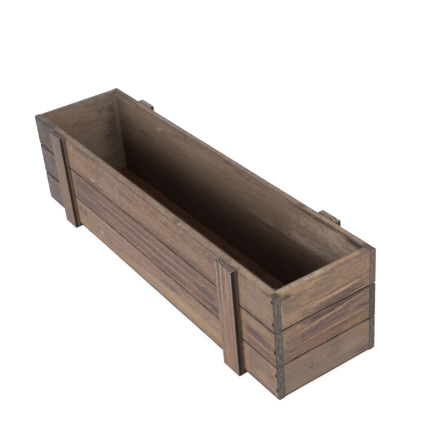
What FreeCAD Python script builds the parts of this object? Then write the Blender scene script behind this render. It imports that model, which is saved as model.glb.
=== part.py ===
import FreeCAD, Part
import os

# Window box planter: an open box of stained softwood planks on two low runners, with two upright
# battens on the front and two on the back. Each wall is three planks whose eased long edges meet
# as V-grooves. The long planks lap over the ends of the short ones and are nailed to them. A thin
# sheet lines each wall inside, and a board between the walls is the floor.
#
# Millimetres. +X runs along the box, -Y is the front, +Z is up. The origin is under the middle of
# the box, on the surface that the runners stand on.

# ---- Driving sizes ----

# The plank box, without the battens and runners.
box_length = 616.0
box_width = 150.0

# Planks: three courses in every wall.
plank_width = 50.0
plank_thick = 9.5
plank_bevel = 1.6
courses = ("bottom", "middle", "top")

# The thinner strip that the battens and the runners are cut from.
strip_width = 34.0
strip_thick = 7.5
strip_bevel = 0.8
batten_inset = 70.0

# Floor board, lying on the runners between the walls.
floor_thick = 9.5
floor_clearance = 0.3

# Lining sheets, standing on the floor against the planks, and the strips in their corners.
lining_thick = 3.0
lining_clearance = 0.3
lining_drop = 1.5
corner_strip_leg = 3.5

# Brads: flat wire nails with a small oblong head, driven a little below the surface.
shank_across = 1.0
shank_along = 1.2
head_across = 1.3
head_along = 2.4
head_thick = 0.6
set_depth = 0.8
brad_clearance = 0.05

# Corner brads go through the long planks into the ends of the short ones.
corner_brad_length = 25.0
corner_brad_from_end = 3.2
# Where each course's brads are, as shares of the plank's width from its lower edge.
brad_shares = {"bottom": (0.29, 0.74), "middle": (0.44,), "top": (0.24, 0.86)}

# Batten brads go out through the planks into the battens, two in each course.
batten_brad_length = 14.0

# Runner brads go up through the runners, into the long planks and the floor.
runner_brad_length = 15.0
floor_brad_spacing = 60.0

# ---- Sizes that follow from them ----

box_height = plank_width * len(courses)
box_base = strip_thick
rim_height = box_base + box_height
inner_length = box_length - 2 * plank_thick
inner_width = box_width - 2 * plank_thick
floor_top = box_base + floor_thick
lining_top = rim_height - lining_drop
lining_height = lining_top - floor_top
batten_x = box_length / 2 - batten_inset - strip_width / 2
brad_pair_spacing = strip_width / 2
sides = {"left": -1, "right": 1}

# Each wall's turn about the upright axis from the front wall, and its planks' length and distance.
walls = {
    "front": (0, box_length, box_width / 2),
    "right_end": (90, inner_width, box_length / 2),
    "back": (180, box_length, box_width / 2),
    "left_end": (270, inner_width, box_length / 2),
}
# The long walls, and which way each one faces along Y.
long_walls = {"front": -1, "back": 1}

ORIGIN = FreeCAD.Vector(0, 0, 0)
X_AXIS = FreeCAD.Vector(1, 0, 0)
Y_AXIS = FreeCAD.Vector(0, 1, 0)
Z_AXIS = FreeCAD.Vector(0, 0, 1)


# ---- Stock and fastenings ----

def bar(length, width, thick, bevel):
    """A board along X, its outer face on y = 0 facing -Y, with both long outer edges bevelled."""
    half = width / 2
    outline = [
        (0, -half + bevel),
        (bevel, -half),
        (thick, -half),
        (thick, half),
        (bevel, half),
        (0, half - bevel),
    ]
    points = [FreeCAD.Vector(-length / 2, y, z) for y, z in outline]
    section = Part.Face(Part.makePolygon(points + points[:1]))
    return section.extrude(X_AXIS * length)


def block(x_size, y_size, z_size, centre_x, centre_y, base_z):
    """A plain rectangular piece, centred in plan, standing on base_z."""
    corner = FreeCAD.Vector(centre_x - x_size / 2, centre_y - y_size / 2, base_z)
    return Part.makeBox(x_size, y_size, z_size, corner)


def brad(length, room=0.0, sink=0.0):
    """A brad along +Y whose head starts at y = 0. room widens it and sink opens it outwards."""
    shank = block(shank_across + 2 * room, length + room, shank_along + 2 * room, 0, 0, 0)
    shank.translate(FreeCAD.Vector(0, (length + room) / 2, -shank_along / 2 - room))
    head = block(head_across + 2 * room, head_thick + sink, head_along + 2 * room, 0, 0, 0)
    head.translate(FreeCAD.Vector(0, (head_thick - sink) / 2, -head_along / 2 - room))
    return shank.fuse(head).removeSplitter()


def driven(length, surface_point, turn_z, turn_x=0):
    """A brad driven in at a point of a surface, and the space that it takes in the wood."""
    pair = [brad(length), brad(length, brad_clearance, set_depth)]
    for shape in pair:
        shape.translate(Y_AXIS * set_depth)
        shape.rotate(ORIGIN, X_AXIS, turn_x)
        shape.rotate(ORIGIN, Z_AXIS, turn_z)
        shape.translate(surface_point)
    return pair


# ---- Where the brads are ----

def course_base(course):
    return box_base + plank_width * courses.index(course)


def corner_brads(wall):
    """The brads at both ends of a long wall, a list of (solid, space) pairs."""
    facing = long_walls[wall]
    turn = 0 if facing < 0 else 180
    found = []
    for course in courses:
        heights = [course_base(course) + plank_width * share for share in brad_shares[course]]
        for side in sides.values():
            x = side * (box_length / 2 - corner_brad_from_end)
            for z in heights:
                point = FreeCAD.Vector(x, facing * box_width / 2, z)
                found.append(driven(corner_brad_length, point, turn))
    return found


def batten_brads():
    """Pairs of brads driven from inside, through every long plank, into the battens."""
    found = []
    for facing in long_walls.values():
        turn = 180 if facing < 0 else 0
        for side in sides.values():
            for course in courses:
                z = course_base(course) + plank_width / 2
                for step in (-0.5, 0.5):
                    x = side * batten_x + step * brad_pair_spacing
                    point = FreeCAD.Vector(x, facing * inner_width / 2, z)
                    found.append(driven(batten_brad_length, point, turn))
    return found


def runner_brads():
    """Pairs of brads driven up through the runners, into the long planks and the floor."""
    found = []
    plank_middle = (box_width - plank_thick) / 2
    rows = (-plank_middle, -floor_brad_spacing / 2, floor_brad_spacing / 2, plank_middle)
    for side in sides.values():
        for y in rows:
            for step in (-0.5, 0.5):
                x = side * batten_x + step * brad_pair_spacing
                found.append(driven(runner_brad_length, FreeCAD.Vector(x, y, 0), 0, 90))
    return found


def bored(piece, brads):
    """The piece with the space of every brad that reaches it cut away."""
    for _, space in brads:
        if space.BoundBox.intersect(piece.BoundBox):
            piece = piece.cut(space)
    return piece


# ---- Pieces ----

def plank(wall, course):
    turn, length, distance = walls[wall]
    piece = bar(length, plank_width, plank_thick, plank_bevel)
    piece.translate(FreeCAD.Vector(0, -distance, course_base(course) + plank_width / 2))
    piece.rotate(ORIGIN, Z_AXIS, turn)
    return piece


def batten(facing, side):
    """An upright strip, level with the rim at the top and with the runner's underside below."""
    piece = bar(rim_height, strip_width, strip_thick, strip_bevel)
    piece.rotate(ORIGIN, Y_AXIS, 90)
    piece.translate(FreeCAD.Vector(0, -box_width / 2 - strip_thick, rim_height / 2))
    if facing > 0:
        piece.rotate(ORIGIN, Z_AXIS, 180)
    piece.translate(X_AXIS * side * batten_x)
    return piece


def runner(side):
    """A strip across the underside of the box, between the lower ends of two battens."""
    piece = bar(box_width, strip_width, strip_thick, strip_bevel)
    piece.rotate(ORIGIN, X_AXIS, 90)
    piece.rotate(ORIGIN, Z_AXIS, 90)
    piece.translate(X_AXIS * side * batten_x)
    return piece


def floor_board():
    room = 2 * floor_clearance
    return block(inner_length - room, inner_width - room, floor_thick, 0, 0, box_base)


def long_lining(facing):
    """The sheet inside a long wall, the full length of the inside."""
    y = facing * (inner_width / 2 - lining_clearance - lining_thick / 2)
    length = inner_length - 2 * lining_clearance
    return block(length, lining_thick, lining_height, 0, y, floor_top)


def end_lining(side):
    """The sheet inside an end wall, between the two long sheets."""
    x = side * (inner_length / 2 - lining_clearance - lining_thick / 2)
    width = inner_width - 2 * (lining_thick + 2 * lining_clearance)
    return block(lining_thick, width, lining_height, x, 0, floor_top)


def corner_strip(facing, side):
    """A three-sided strip in an inside corner, against the faces of two lining sheets."""
    reach = lining_clearance + lining_thick
    x = side * (inner_length / 2 - reach)
    y = facing * (inner_width / 2 - reach)
    points = [
        FreeCAD.Vector(x, y, floor_top),
        FreeCAD.Vector(x - side * corner_strip_leg, y, floor_top),
        FreeCAD.Vector(x, y - facing * corner_strip_leg, floor_top),
    ]
    section = Part.Face(Part.makePolygon(points + points[:1]))
    return section.extrude(Z_AXIS * lining_height)


# ---- Assembly: one file per node ----

def save(node, shape):
    shape.exportStep(os.path.join("parts", node + ".step"))
    print(f"{node}: {len(shape.Solids)} solid(s), {shape.Volume / 1000:.1f} cm3")


os.makedirs("parts", exist_ok=True)

wall_brads = {wall: corner_brads(wall) for wall in long_walls}
inside_brads = batten_brads()
under_brads = runner_brads()
all_brads = wall_brads["front"] + wall_brads["back"] + inside_brads + under_brads

for wall in walls:
    for course in courses:
        save(f"{wall}_{course}_plank", bored(plank(wall, course), all_brads))

for wall, facing in long_walls.items():
    for name, side in sides.items():
        save(f"{wall}_{name}_batten", bored(batten(facing, side), inside_brads))
        save(f"{wall}_{name}_corner_strip", corner_strip(facing, side))
    save(f"{wall}_lining", long_lining(facing))
    save(f"{wall}_corner_brads", Part.makeCompound([solid for solid, _ in wall_brads[wall]]))

for name, side in sides.items():
    save(f"{name}_runner", bored(runner(side), under_brads))
    save(f"{name}_end_lining", end_lining(side))

save("floor_board", bored(floor_board(), under_brads))
save("batten_brads", Part.makeCompound([solid for solid, _ in inside_brads]))
save("runner_brads", Part.makeCompound([solid for solid, _ in under_brads]))
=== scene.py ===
# %% [markdown]
# # A window box planter
# The real object is a long open box of thin softwood boards: three planks high on every side, with
# two upright battens in front, two behind, and two low runners underneath. The boards were scorched
# with a flame, brushed and wiped with brown stain, so no two of them look alike.
#
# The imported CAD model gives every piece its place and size. This script dresses that model: it makes
# each board again with uneven arrises, raised grain and sunken nail holes, and paints each one with
# its own wood figure. Everything is in metres, in the same frame as the CAD model.

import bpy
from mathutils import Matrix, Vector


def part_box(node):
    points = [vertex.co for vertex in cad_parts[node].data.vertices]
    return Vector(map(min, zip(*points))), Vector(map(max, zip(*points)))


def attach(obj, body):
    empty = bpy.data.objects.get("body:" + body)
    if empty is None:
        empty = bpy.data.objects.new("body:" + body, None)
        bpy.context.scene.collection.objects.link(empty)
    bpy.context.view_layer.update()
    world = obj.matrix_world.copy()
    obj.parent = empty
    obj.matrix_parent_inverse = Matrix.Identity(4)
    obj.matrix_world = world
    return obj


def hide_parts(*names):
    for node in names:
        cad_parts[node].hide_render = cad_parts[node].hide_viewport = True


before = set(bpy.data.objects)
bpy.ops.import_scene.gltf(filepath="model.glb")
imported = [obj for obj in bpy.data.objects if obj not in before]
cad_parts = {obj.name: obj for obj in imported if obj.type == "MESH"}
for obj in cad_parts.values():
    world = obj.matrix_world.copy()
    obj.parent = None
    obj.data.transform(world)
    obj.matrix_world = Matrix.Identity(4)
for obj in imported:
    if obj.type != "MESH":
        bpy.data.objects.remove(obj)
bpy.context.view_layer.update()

# %% [markdown]
# ## Helpers
# Timber is measured in millimetres and Blender in metres, so one constant turns one into the other.
# Colours are written as the hex values that an eye or a colour picker gives (sRGB). A shader wants
# linear light, so one function does that step for every colour in the file.

# %% Millimetres, colours and one function for nodes
import math
import random
from types import SimpleNamespace

import bpy
from mathutils import Euler, Matrix, Vector, noise

MM = 0.001


def linear(colour):
    """An sRGB hex colour as linear RGBA."""
    channels = [int(colour[i:i + 2], 16) / 255 for i in (1, 3, 5)]
    return [c / 12.92 if c <= 0.04045 else ((c + 0.055) / 1.055) ** 2.4 for c in channels] + [1.0]


def add(tree, kind, settings=None, links=None):
    """Add a node. A setting is a property of the node or the value of an input; a link feeds one."""
    node = tree.nodes.new("ShaderNode" + kind)
    for key, value in (settings or {}).items():
        if isinstance(key, str) and hasattr(node, key):
            setattr(node, key, value)
        else:
            node.inputs[key].default_value = value
    for key, source in (links or {}).items():
        tree.links.new(source, node.inputs[key])
    return node


print("scorched brown in linear light:", [round(c, 3) for c in linear("#5E4A3F")])

# %% [markdown]
# ## The size of each board
# Every board is a bar with a grain direction, a face that looks outwards, and an arris (a long outer
# edge) that was planed off at 45 degrees. Reading the boxes of the CAD nodes keeps both models equal.

# %% Sizes read from the CAD nodes
X, Y, Z = Vector((1, 0, 0)), Vector((0, 1, 0)), Vector((0, 0, 1))
PLANK_BEVEL = 1.6
STRIP_BEVEL = 0.8
SHEET_BEVEL = 0.3


def size_mm(node):
    """The size of a CAD node along X, Y and Z."""
    low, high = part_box(node)
    return [round((b - a) / MM, 2) for a, b in zip(low, high)]


for name in ("front_top_plank", "right_end_top_plank", "front_left_batten", "back_lining"):
    print(name, size_mm(name), "mm")

# %% [markdown]
# ## A board's face
# A sawn and brushed board is not a perfect prism. Its arris is wider here and narrower there, the
# hard winter rings stand proud of the soft summer wood, and its ends are a little ragged. Smooth
# noise gives all of that. All sizes and depths are in millimetres.

# %% Noise, hollows, raised grain and nail pits
# Each seed reads the noise further along and deeper, so each board has its own hollows and grain.
BOARD_APART, LAYER_APART = 19.1, 7.3
GRAIN_SEED, ARRIS_SEED, SIDE_SEED = 3, 5, 8
HOLLOW_DEPTH, HOLLOW_SIZE = 0.14, (90, 30)
GRAIN_DEPTH, GRAIN_SIZE = 0.16, (45, 2.4)
PIT_DEPTH, PIT_HALF_SIZE = 1.1, (0.95, 1.5)


def wave(along, across, seed, size):
    """Smooth noise from -1 to 1 with waves of about a size. Each seed is another piece of noise."""
    long, wide = size
    return noise.noise(Vector((along / long + BOARD_APART * seed, across / wide, LAYER_APART * seed)))


def face_depth(along, across, seed):
    """How far the brushed face lies under the flat CAD face: slow hollows and raised grain."""
    hollow = 0.5 + 0.5 * wave(along, across, seed, HOLLOW_SIZE)
    grain = 0.5 + 0.5 * wave(along, across, seed + GRAIN_SEED, GRAIN_SIZE)
    return HOLLOW_DEPTH * hollow + GRAIN_DEPTH * grain


def dent_depth(along, across, dents):
    """How deep a point lies in the oblong pits that the nail set left."""
    half_long, half_wide = PIT_HALF_SIZE
    depth = 0.0
    for dent_along, dent_across in dents:
        reach = ((along - dent_along) / half_long) ** 2 + ((across - dent_across) / half_wide) ** 2
        depth = max(depth, PIT_DEPTH * math.sqrt(max(0.0, 1 - reach)))
    return depth


depths = [face_depth(along, 0, 1) for along in range(100)]
print("a brushed face lies", round(min(depths), 2), "to", round(max(depths), 2), "mm deep")

# %% [markdown]
# ## A board's mesh
# A Bevel modifier on the CAD solid would give a clean machined look. Instead the outline of the
# board's section is drawn once and repeated at many stations along the grain, and each point is
# pushed inwards by a little noise. Nothing is pushed outwards, so the board stays in its CAD space.
# The stations are close together near both ends, where the nails are.

# %% The stations along a board
# Distances from either end, then from one station to the next and from one point to the next.
NEAR_AN_END = (0, 0.5, 1, 1.5, 2, 2.5, 3, 3.5, 4, 4.5, 5, 6, 8)
STEP = 2.5
ROW = 1.0


def stations(length, step):
    """Places along the board, measured from its middle."""
    clear = length - 2 * NEAR_AN_END[-1]
    count = max(1, round(clear / step))
    inner = [NEAR_AN_END[-1] + clear * i / count for i in range(1, count)]
    far_end = [length - p for p in reversed(NEAR_AN_END)]
    return [p - length / 2 for p in (*NEAR_AN_END, *inner, *far_end)]


print("stations on a front plank:", len(stations(size_mm("front_top_plank")[0], STEP)))

# %% The section at one station
# How far an arris grows and shrinks, as a share, and how far a side leans in. Both have the size of
# their waves, and how far from the middle of the board the noise is read for each side.
ARRIS_SHARE, ARRIS_SIZE, ARRIS_PLACE = 0.22, (22, 9), 40
SIDE_LEAN, SIDE_SIZE, SIDE_PLACE = 0.12, (35, 9), 90
SIDE_PARTS, BACK_PARTS = 3, 6


def section(along, sizes, bevel, seed, dents, row, drawn_in):
    """The outline of the board at one station, as points (along, across, outwards)."""
    _, width, thick = sizes
    cut, lean = {}, {}
    for side in (-1, 1):
        uneven = wave(along, side * ARRIS_PLACE, seed + ARRIS_SEED, ARRIS_SIZE)
        cut[side] = bevel * (1 + ARRIS_SHARE * uneven)
        uneven = wave(along, side * SIDE_PLACE, seed + SIDE_SEED, SIDE_SIZE)
        lean[side] = SIDE_LEAN + SIDE_LEAN * uneven + drawn_in
    low, high = cut[-1] + lean[-1] - width / 2, width / 2 - cut[1] - lean[1]
    rows = max(2, round((width - 2 * bevel) / row))
    face = []
    for i in range(rows + 1):
        across = low + (high - low) * i / rows
        depth = face_depth(along, across, seed) + dent_depth(along, across, dents) + drawn_in
        face.append((along, across, thick / 2 - depth))
    under = drawn_in - thick / 2
    walls = {}
    for side in (1, -1):
        edge = side * (width / 2 - lean[side])
        top = thick / 2 - cut[side] - drawn_in
        walls[side] = [(along, edge, top + (under - top) * k / SIDE_PARTS)
                       for k in range(SIDE_PARTS + 1)]
    edge = width / 2 - lean[1]
    back = [(along, edge - 2 * edge * k / BACK_PARTS, under) for k in range(1, BACK_PARTS)]
    return face + walls[1] + back + walls[-1][::-1]


print("points round a front plank:",
      len(section(0, sorted(size_mm("front_top_plank"), reverse=True), PLANK_BEVEL, 1, (), ROW, 0)))

# %% The mesh of one board
# A cut end is drawn in by this much all round. Corners sharper than the angle stay crisp.
END_DRAW = 0.45
SHARP_ANGLE = math.radians(28)


def make_board(name, node, directions, bevel, seed, dents=(), step=STEP, row=ROW):
    """A board in the space of a CAD node, which it replaces."""
    low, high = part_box(node)
    along, out = directions
    across = out.cross(along)
    middle = (low + high) / 2
    span = high - low
    sizes = [abs(span.dot(d)) / MM for d in (along, across, out)]
    places = stations(sizes[0], step)
    rings = [section(place, sizes, bevel, seed, dents, row,
                     END_DRAW if place in (places[0], places[-1]) else 0.0) for place in places]
    points = [middle + (along * a + across * c + out * o) * MM for ring in rings for a, c, o in ring]
    n = len(rings[0])
    faces = [tuple(range(n)), tuple(reversed(range(len(points) - n, len(points))))]
    for r in range(len(rings) - 1):
        for i in range(n):
            a, b = r * n + i, r * n + (i + 1) % n
            faces.append((b, a, a + n, b + n))
    mesh = bpy.data.meshes.new(name)
    mesh.from_pydata(points, [], faces)
    mesh.update()
    mesh.shade_smooth()
    mesh.set_sharp_from_angle(angle=SHARP_ANGLE)
    piece = bpy.data.objects.new(name, mesh)
    bpy.context.scene.collection.objects.link(piece)
    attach(piece, "root")
    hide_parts(node)
    return piece


print("a cut end is drawn in by", END_DRAW, "mm")

# %% [markdown]
# ## Planks
# Twelve planks make the walls. The front and back planks lap over the ends of the short ones and are
# nailed there, so each has small pits near both ends. A wall is given by the way its planks run and
# the way it faces. The heights of the brads are measured from a plank's lower edge.

# %% Make the planks
COURSES = ("bottom", "middle", "top")
WALLS = {"front": (X, -Y), "back": (X, Y), "left_end": (Y, -X), "right_end": (Y, X)}
BRAD_FROM_END = 3.2
BRAD_HEIGHTS = {"bottom": (14.5, 37.0), "middle": (22.0,), "top": (12.0, 43.0)}
pieces = {}
boards = {}


def plank_dents(wall, course, sizes):
    """Nail pits near both ends of a long plank, as (along, across) from its middle."""
    if wall not in ("front", "back"):
        return []
    sign = 1 if wall == "front" else -1
    length, _, width = sizes
    reach = length / 2 - BRAD_FROM_END
    return [(side * reach, sign * (height - width / 2))
            for side in (-1, 1) for height in BRAD_HEIGHTS[course]]


seed = 0
for wall, directions in WALLS.items():
    for course in COURSES:
        seed += 1
        node = f"{wall}_{course}_plank"
        dents = plank_dents(wall, course, size_mm(node))
        pieces[node] = make_board("visual_" + node, node, directions, PLANK_BEVEL, seed, dents)
        boards[node] = directions, dents
print("planks:", len(pieces), "faces in the first:", len(pieces["front_bottom_plank"].data.polygons))

# %% [markdown]
# ## Battens and runners
# Two upright battens stand on the front and two on the back, and a runner crosses under the box
# between each pair. All six are lengths of one thinner strip. Their brads come from inside and from
# below, so their faces have no pits. A cube with a Bevel would be quicker, but its arrises would be
# dead straight, and the near batten's arris stands out against the dark side in the photograph.

# %% Make the battens and runners
for wall, out in (("front", -Y), ("back", Y)):
    for side in ("left", "right"):
        seed += 1
        node = f"{wall}_{side}_batten"
        pieces[node] = make_board("visual_" + node, node, (Z, out), STRIP_BEVEL, seed, step=2.0)
        boards[node] = (Z, out), ()
for side in ("left", "right"):
    seed += 1
    node = side + "_runner"
    pieces[node] = make_board("visual_" + node, node, (Y, -Z), STRIP_BEVEL, seed, step=4.0)
    boards[node] = (Y, -Z), ()
print("battens and runners:", [node for node in pieces if not node.endswith("plank")])

# %% [markdown]
# ## Linings and floor board
# Thin sheets stand inside the walls and a board lies between them. They have hardly any arris and lie
# mostly in shade, so the same mesh is made with a coarser grid: a vertex every 4 by 6 mm.

# %% Make the linings and the floor
LININGS = {
    "front_lining": (X, Y),
    "back_lining": (X, -Y),
    "left_end_lining": (Y, X),
    "right_end_lining": (Y, -X),
    "floor_board": (X, Z),
}
for node, directions in LININGS.items():
    seed += 1
    pieces[node] = make_board("visual_" + node, node, directions, SHEET_BEVEL, seed,
                              step=6.0, row=4.0)
    boards[node] = directions, ()
print("boards made:", len(pieces))

# %% [markdown]
# ## A lining that has sprung
# Near the right corner the back lining has come away from the plank by about 2 mm, which shows as a
# short black crack beside the rim. A Lattice or a shape key could bend it. Here the mesh's points
# are simply moved, most at the top edge and not at all at the ends of the crack.

# %% Bend the back lining near the right corner
SPRING = 2.2
CRACK_STARTS, CRACK_OPENS, CRACK_CLOSES, CRACK_ENDS = 254, 280, 293, 298
HELD_BELOW, FREE_ABOVE = 95, 156


def eased(value, start, full):
    """From 0 at `start` to 1 at `full`, without a kink at either end."""
    t = min(1.0, max(0.0, (value - start) / (full - start)))
    return t * t * (3 - 2 * t)


for vertex in pieces["back_lining"].data.vertices:
    x, z = vertex.co.x / MM, vertex.co.z / MM
    open_here = eased(x, CRACK_STARTS, CRACK_OPENS) * eased(x, CRACK_ENDS, CRACK_CLOSES)
    pull = open_here * eased(z, HELD_BELOW, FREE_ABOVE)
    vertex.co.y -= SPRING * MM * pull
print("the crack is", SPRING, "mm wide at most")

# %% [markdown]
# ## Scorched and stained softwood
# Pine or fir boards are passed under a flame, brushed with wire and wiped with a thin brown stain.
# The flame darkens the soft summer wood, the brush lays the hard winter rings bare, and the stain
# pools in the arrises. The eye sees a matt brown with long streaks, from purple grey where the flame
# lingered to tan where the brush cut deep.
#
# A picture wrapped round the board could show that, but it would smear on the end grain. Here the
# figure is solid: each colour depends on a point's place in the wood, measured along the grain,
# across the board and down from its face. So the rings on a face run on into the end grain.

# %% Where a point lies in its board
def cross_axis(directions):
    """The axis that runs across a board: the one of X, Y and Z that its directions leave over."""
    along, out = directions
    return Vector([1 - abs(a) - abs(o) for a, o in zip(along, out)])


def wood_space(tree, node, directions):
    """A vector in mm: along the grain, across from the lower edge, and down from the outer face."""
    low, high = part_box(node)
    along, out = directions
    across = cross_axis(directions)
    coordinates = add(tree, "TexCoord")
    axes = add(tree, "SeparateXYZ", {}, {0: coordinates.outputs["Object"]})
    starts = [0, low.dot(across), -max(low.dot(out), high.dot(out))]
    parts = []
    for axis, start in zip((along, across, -out), starts):
        index = max(range(3), key=lambda i: abs(axis[i]))
        part = add(tree, "Math", {"operation": "MULTIPLY_ADD", 1: axis[index] / MM, 2: -start / MM},
                   {0: axes.outputs[index]})
        parts.append(part.outputs[0])
    return add(tree, "CombineXYZ", {}, dict(enumerate(parts))).outputs[0]


print("board spaces are measured in mm, so", 1 / MM, "to the metre")

# %% [markdown]
# ## Streaks, rings and drift
# Grain is noise that has been pulled out along the board. A winter ring is 4 to 7 mm apart here, a
# streak of stain about as wide and a hand long, and the finest fibres that the camera can still see
# are about a millimetre wide. None of them is straight, so their places drift by a few millimetres.

# %% Noise pulled out along the grain
NOISE_MIDDLE = (0.5, 0.5, 0.5)


def grain_noise(tree, place, sizes, detail=2.0, roughness=0.55):
    """Noise whose patches have the given sizes in mm along, across and into the board."""
    shrunk = add(tree, "VectorMath", {"operation": "MULTIPLY", 1: [1 / s for s in sizes]}, {0: place})
    return add(tree, "TexNoise", {"Scale": 1.0, "Detail": detail, "Roughness": roughness},
               {"Vector": shrunk.outputs[0]})


def drifted(tree, place, source, sizes, reach):
    """The place moved by smooth noise, by up to about `reach` mm each way."""
    cloud = grain_noise(tree, source, sizes)
    centred = add(tree, "VectorMath", {"operation": "SUBTRACT", 1: NOISE_MIDDLE},
                  {0: cloud.outputs["Color"]})
    return add(tree, "VectorMath", {"operation": "MULTIPLY_ADD", 1: [2 * r for r in reach]},
               {0: centred.outputs[0], 2: place}).outputs[0]


print("a noise of 48 by 1.1 mm is scaled by", [round(1 / s, 3) for s in (48, 1.1)])

# %% Growth rings
# How dark the wood is through one year: pale summer wood, then a winter ring that ends sharply.
YEAR = ((0.0, 0.0), (0.5, 0.2), (0.8, 1.0), (0.93, 0.85), (1.0, 0.0))
# A size so long that nothing changes along it.
ENDLESS = 1e6


def growth_rings(tree, place, pith, spacing):
    """From 0 in early wood to 1 in late wood. The pith lies below the board, `pith` mm off."""
    turned = add(tree, "Mapping", {"vector_type": "TEXTURE", "Location": (0, pith[0], pith[1]),
                                   "Scale": (ENDLESS, spacing, spacing)}, {"Vector": place})
    radius = add(tree, "VectorMath", {"operation": "LENGTH"}, {0: turned.outputs[0]})
    year = add(tree, "Math", {"operation": "FRACT"}, {0: radius.outputs["Value"]})
    ramp = add(tree, "ValToRGB", {}, {0: year.outputs[0]})
    for position, value in YEAR:
        stop = ramp.color_ramp.elements.new(position) if 0 < position < 1 else (
            ramp.color_ramp.elements[0 if position == 0 else -1])
        stop.color = (value, value, value, 1)
    return ramp.outputs[0]


print("parts of a year:", len(YEAR))

# %% [markdown]
# ## Stains and edges
# Everything that happens to the wood is a stain laid over it: where the brush ran, near an edge, in a
# spot of its own, or round an iron nail. A stain is a colour and a strength from 0 to 1. It comes in
# as some measure goes from one limit to another, such as a distance in mm or a noise from 0 to 1.

# %% Stains, marks and nail spots
# A Mix node has sockets for every kind of data. These are its two colours and their blend.
MIX_A, MIX_B, MIXED = 6, 7, 2
MARK_FADE = (1.35, 0.45)
NAIL_SPOT, NAIL_FADE, NAIL_STAIN = (1.6, 2.5), (1.3, 0.95), ("#0F0B0A", 0.97)


def laid_over(tree, colour, measure, limits, stain, curve="SMOOTHSTEP"):
    """A stain over a colour: none of it where the measure is at the first limit, all at the second."""
    tint, strength = stain
    cover = add(tree, "MapRange", {"interpolation_type": curve, "From Min": limits[0],
                                   "From Max": limits[1], "To Max": strength}, {"Value": measure})
    return add(tree, "Mix", {"data_type": "RGBA", MIX_B: linear(tint)},
               {0: cover.outputs[0], MIX_A: colour}).outputs[MIXED]


def where_near(tree, colour, other, distance, limits):
    """One colour, and another one where a distance has come down to the second limit."""
    cover = add(tree, "MapRange", {"From Min": limits[0], "From Max": limits[1]}, {"Value": distance})
    return add(tree, "Mix", {"data_type": "RGBA"},
               {0: cover.outputs[0], MIX_A: colour, MIX_B: other}).outputs[MIXED]


def marked(tree, colour, place, breakup, mark):
    """One soft-edged mark: centre, half sizes and turn on the face, colour and strength."""
    along, across, half_long, half_wide, turn, tint, strength = mark
    spot = add(tree, "Mapping", {"vector_type": "TEXTURE", "Location": (along, across, 0),
                                 "Rotation": (0, 0, math.radians(turn)),
                                 "Scale": (half_long, half_wide, ENDLESS)}, {"Vector": place})
    reach = add(tree, "VectorMath", {"operation": "LENGTH"}, {0: spot.outputs[0]})
    cover = add(tree, "MapRange", {"interpolation_type": "SMOOTHSTEP", "From Min": MARK_FADE[0],
                                   "From Max": MARK_FADE[1], "To Max": strength},
                {"Value": reach.outputs["Value"]})
    patchy = add(tree, "Math", {"operation": "MULTIPLY", "use_clamp": True},
                 {0: cover.outputs[0], 1: breakup})
    return add(tree, "Mix", {"data_type": "RGBA", MIX_B: linear(tint)},
               {0: patchy.outputs[0], MIX_A: colour}).outputs[MIXED]


def nail_spot(tree, colour, space, dent, middle):
    """The black spot that an iron nail leaves in damp stained wood."""
    spot = add(tree, "Mapping", {"vector_type": "TEXTURE", "Scale": (*NAIL_SPOT, ENDLESS),
                                 "Location": (dent[0] + middle[0], dent[1] + middle[1], 0)},
               {"Vector": space})
    reach = add(tree, "VectorMath", {"operation": "LENGTH"}, {0: spot.outputs[0]})
    return laid_over(tree, colour, reach.outputs["Value"], NAIL_FADE, NAIL_STAIN, "LINEAR")


print("a mark fades out at", MARK_FADE[0], "times its half size")

# %% [markdown]
# ## A look
# One board differs from the next in its colours, its rings and its stains, and all of that is a look:
# a dictionary of colours, sizes in mm and strengths. The plain look has a value for everything, and
# each board's own look says only what differs. `wash` tints the whole board, `rings`, `broad`, `fine`
# and `speck` say how much each figure darkens it, and `tone` how dark it is between them. `thin` is
# how much of a mark is left where the grain breaks it up, in patches of the size `patch`. A None
# leaves a step of the finish out.

# %% The plain look of a plank
# Real fibres are some 0.03 mm wide. They are drawn as fine as the camera can tell apart.
STREAK, FIBRE, SPECK = (230, 4.5, 4.5), (48, 1.1, 1.1), (4.8, 2.7, 2.7)
PLAIN = {
    "light": "#A08A7A", "mid": "#8C7668", "dark": "#6A574E", "wash": "#F2EEEC",
    "pith": (18, 46), "spacing": 5.5, "rings": 0.35, "broad": 1.5, "fine": 0.9, "speck": 1.5,
    "tone": 0.38, "drift": (12, 5, 3), "cool": ("#75696A", 0.45), "warm": ("#A38866", 0.35),
    "flecks": ("#C0AA94", 0.4), "fibres": ("#46372F", 0.4),
    "arris": ("#5E4C42", 0.5), "arris_reach": PLANK_BEVEL, "groove_shade": ("#0F0A08", 1.0),
    "deep_shade": None, "rim": None, "side": None, "foot_shade": None, "end_arris": None,
    "end": ("#857C75", "#423B37"), "end_rings": 0.25,
    "marks": (), "patch": FIBRE, "thin": 0.55, "shade_and_stain_bands": (), "dents": (), "rim_marks": (),
}
print("values in a look:", len(PLAIN))

# %% [markdown]
# ## One board's wood
# Every step of the finish needs the same few things: a point's place in the wood, its distance to
# the edges, the rings and the fibres. They are worked out once and kept together as the board's
# wood. Each board starts at another place in the noise, a jump away from the one before.

# %% The wood that the steps of the finish share
SEED_JUMP = (613, 57, 23)
DRIFT_SIZE = (150, 22, 22)
UNEVEN_SIZE, UNEVEN_REACH = (24, 9, 9), 1.5
SOFTEST, FIRMEST = 0.8, 1.1


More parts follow.
